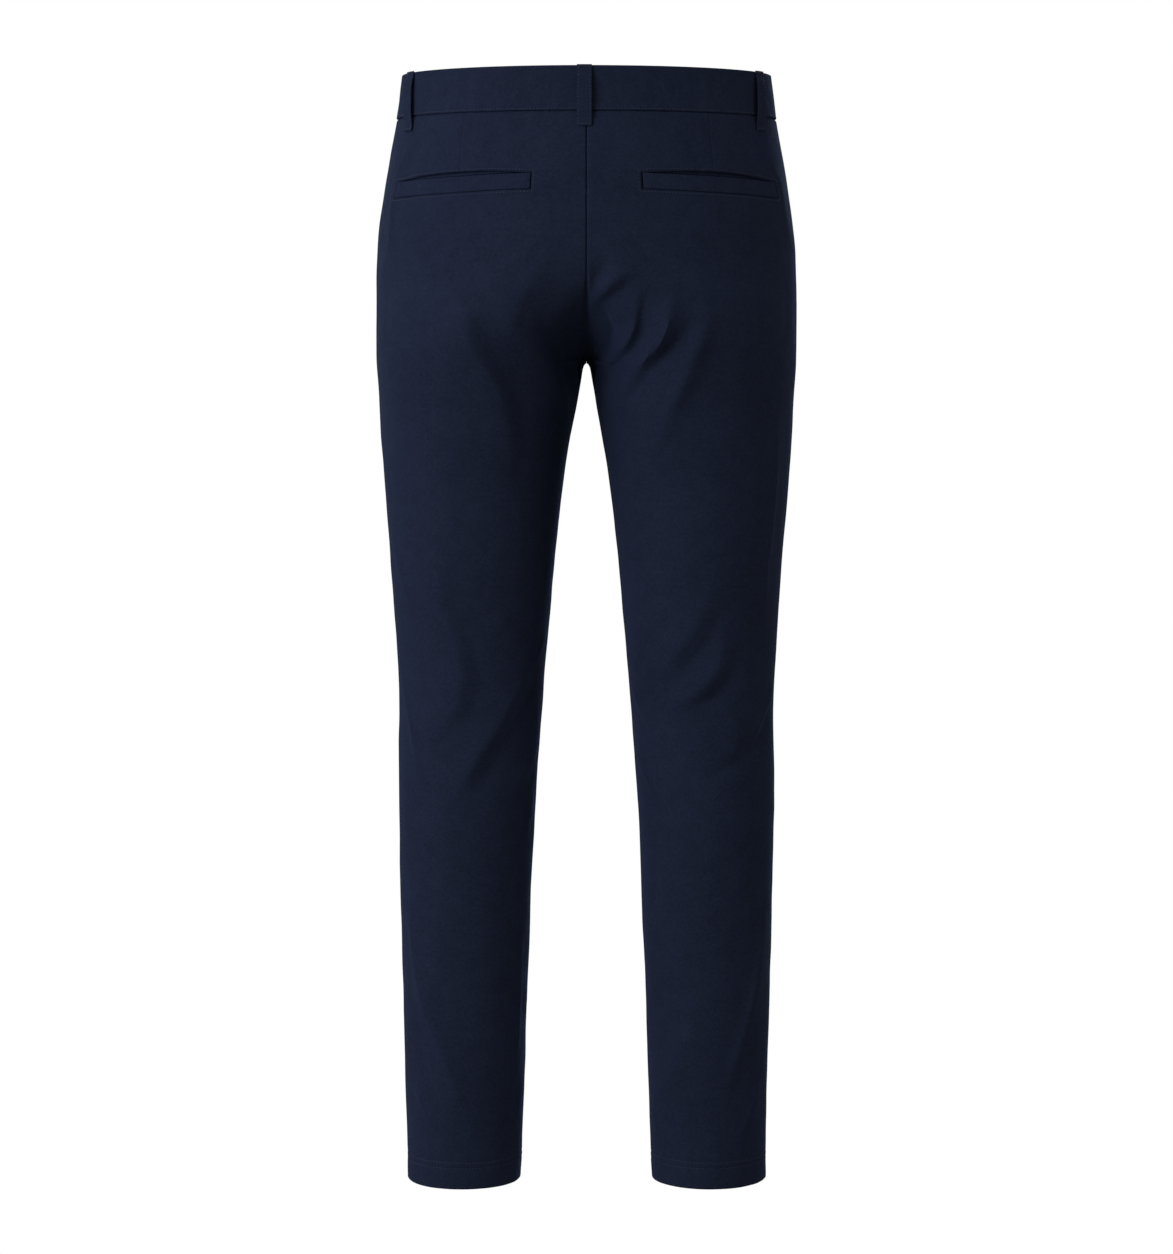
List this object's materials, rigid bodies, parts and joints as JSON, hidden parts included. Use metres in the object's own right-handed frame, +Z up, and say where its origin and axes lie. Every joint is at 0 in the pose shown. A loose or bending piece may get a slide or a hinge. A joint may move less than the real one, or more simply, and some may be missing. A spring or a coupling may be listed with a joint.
{
  "type": "chino trousers",
  "caption": "Slim navy chino trousers in a worn, filled-out pose: plain fly front, slanted front pockets, single-welt back pockets and belt loops, open at waist and hems.",
  "frame": {"origin": "middle of the waist, halfway up the waistband, in the centre plane", "axes": "+Z up, out of the open waist; the front of the trousers faces -Y and their back +Y; the wearer's left is +X"},
  "size_m": [0.391, 0.2634, 1.0389],
  "materials": {
    "cloth": "dark navy cotton twill, matt with a slight sheen",
    "zip_tape": "dark navy woven tape",
    "zip_metal": "satin grey metal",
    "button": "dark navy, satin"
  },
  "bodies": {
    "root": {"back_left": "cloth", "back_right": "cloth", "front_left": "cloth", "front_right": "cloth", "waistband_left": "cloth", "waistband_right": "cloth", "back_welt_left": "cloth", "back_welt_right": "cloth", "back_facing_left": "cloth", "back_facing_right": "cloth", "front_facing_left": "cloth", "front_facing_right": "cloth", "belt_loop_centre_back": "cloth", "belt_loop_side_left": "cloth", "belt_loop_side_right": "cloth", "belt_loop_front_left": "cloth", "belt_loop_front_right": "cloth", "fly_zip": "zip_tape", "zip_slider": "zip_metal", "waist_button": "button"}
  },
  "joints": []
}
